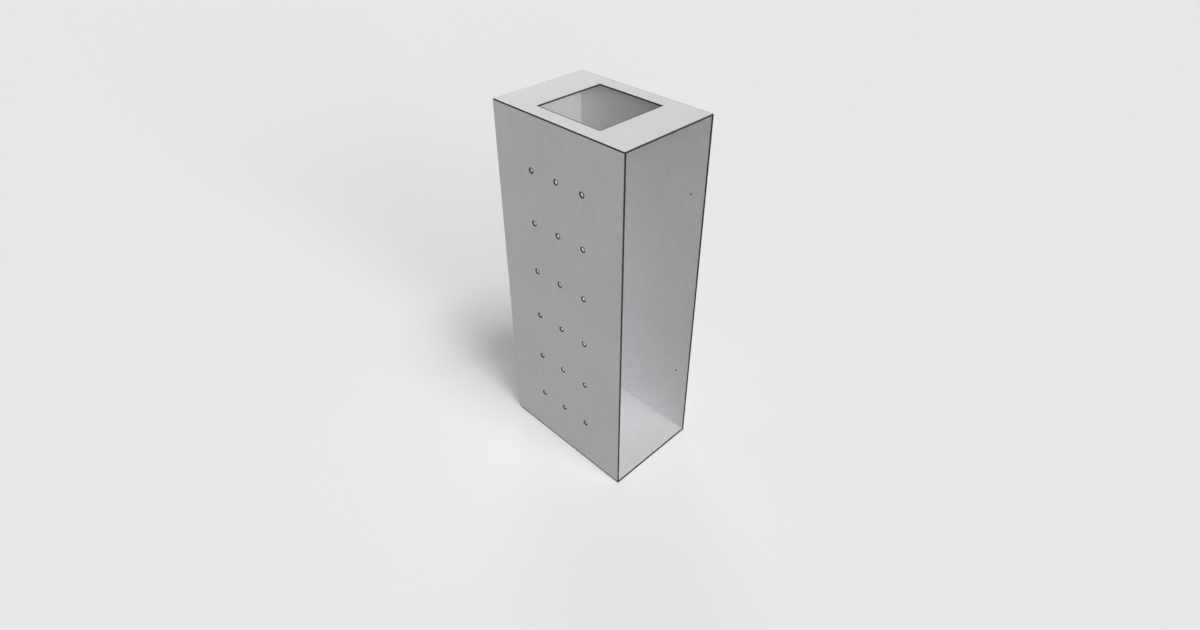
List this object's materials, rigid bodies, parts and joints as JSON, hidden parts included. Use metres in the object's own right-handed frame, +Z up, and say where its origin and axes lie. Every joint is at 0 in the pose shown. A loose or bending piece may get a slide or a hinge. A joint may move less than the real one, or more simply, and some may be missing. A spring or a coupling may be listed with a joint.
{
  "type": "sheet metal enclosure",
  "caption": "Tall box folded from sheet metal, open at the front, with a square opening in the top, a grid of round holes in one side wall and small fixing holes in the other.",
  "frame": {"origin": "middle of the underside, on the surface the enclosure stands on", "axes": "+Z up, the open front faces -Y, +X to the right seen from the open front, so the grid of holes is in the -X wall"},
  "size_m": [0.2, 0.3, 0.7],
  "materials": {
    "sheet": "matt zinc-coated sheet, light neutral grey, with darker cut edges"
  },
  "bodies": {
    "root": {"folded_enclosure": "sheet"}
  },
  "joints": []
}
